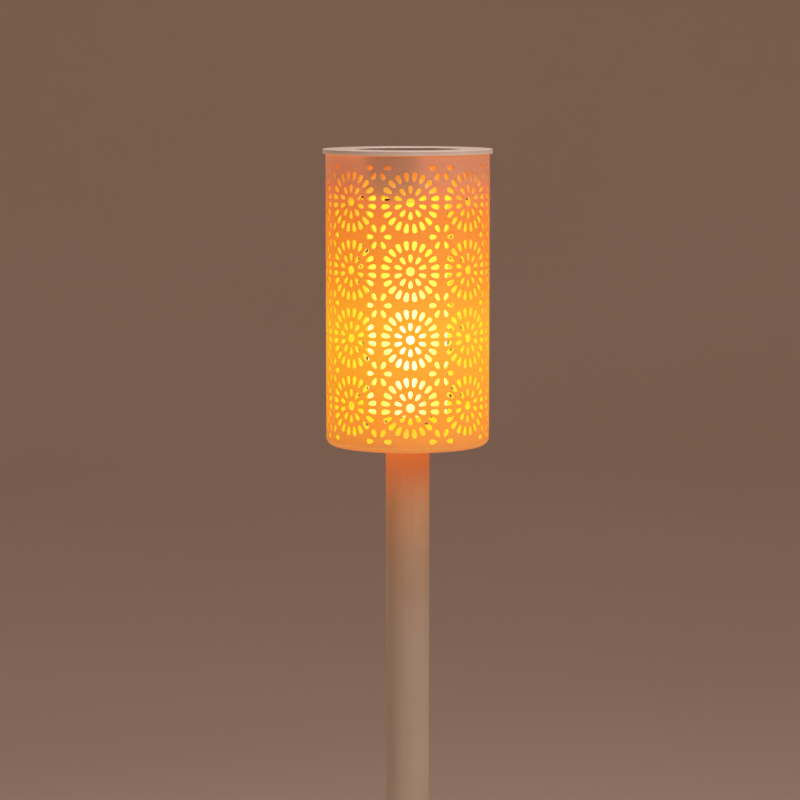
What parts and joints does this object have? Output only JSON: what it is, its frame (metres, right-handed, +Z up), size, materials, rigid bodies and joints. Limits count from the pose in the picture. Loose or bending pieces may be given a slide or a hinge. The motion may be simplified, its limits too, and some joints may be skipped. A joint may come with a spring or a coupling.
{
  "type": "solar garden torch",
  "caption": "Solar garden torch with a perforated translucent shade on a plug-together pole and ground spike; its solar head with battery, switch and light core lifts out.",
  "frame": {"origin": "on the pole's axis at ground level, at the underside of the ground spike's collar", "axes": "+Z up along the pole; -Y is the front, where a column of rosettes faces; +X to the right seen from the front"},
  "size_m": [0.086, 0.086, 0.7663],
  "materials": {
    "shade_plastic": "translucent ivory, satin moulded",
    "cap_plastic": "ivory, satin moulded",
    "pole_plastic": "ivory, extruded, slightly matt",
    "spike_plastic": "ivory, coarse moulded",
    "housing_plastic": "off-white, textured moulded",
    "frosted_plastic": "frosted, translucent",
    "core_plastic": "white moulded",
    "gasket_rubber": "soft black rubber",
    "seal_foam": "black adhesive foam",
    "panel_resin": "clear resin over dark solar cells",
    "board_laminate": "green solder mask",
    "sheet_laminate": "white solder mask on a flexible board",
    "led_resin": "white package with yellow phosphor resin",
    "black_moulding": "black moulded",
    "cell_sleeve": "steel can with a glossy printed-colour sleeve",
    "contact_nickel": "nickel-plated spring steel",
    "screw_steel": "black-oxide steel",
    "red_insulation": "red PVC",
    "black_insulation": "black PVC"
  },
  "bodies": {
    "stand": {"ground_spike": "spike_plastic", "pole_lower_tube": "pole_plastic", "pole_coupler": "pole_plastic", "pole_upper_tube": "pole_plastic", "shade": "shade_plastic"},
    "solar_head": {"cap": "cap_plastic", "module_housing": "housing_plastic", "diffuser_tube": "frosted_plastic", "diffuser_end_cap": "frosted_plastic", "led_core": "core_plastic", "housing_gasket": "gasket_rubber", "panel_seal": "seal_foam", "solar_panel": "panel_resin", "circuit_board": "board_laminate", "led_sheet": "sheet_laminate", "led_1": "led_resin", "led_2": "led_resin", "led_3": "led_resin", "led_4": "led_resin", "led_5": "led_resin", "led_6": "led_resin", "led_7": "led_resin", "led_8": "led_resin", "led_9": "led_resin", "led_10": "led_resin", "led_11": "led_resin", "led_12": "led_resin", "controller_chip": "black_moulding", "charging_choke": "black_moulding", "battery_cell": "cell_sleeve", "battery_contact_minus": "contact_nickel", "battery_contact_plus": "contact_nickel", "battery_spring": "contact_nickel", "switch_body": "contact_nickel", "housing_screw_1": "screw_steel", "housing_screw_2": "screw_steel", "housing_screw_3": "screw_steel", "panel_lead_red": "red_insulation", "battery_lead_red": "red_insulation", "led_lead_red": "red_insulation", "panel_lead_black": "black_insulation", "battery_lead_black": "black_insulation", "led_lead_black": "black_insulation"},
    "switch_knob": {"switch_knob": "black_moulding"}
  },
  "joints": [
    {"name": "head_lift", "type": "slide", "parent": "stand", "child": "solar_head", "axis": [0, 0, 1], "range_m": [0, 0.14]},
    {"name": "switch_slide", "type": "slide", "parent": "solar_head", "child": "switch_knob", "axis": [-0.8192, 0.5736, 0], "range_m": [0, 0.0025]}
  ]
}
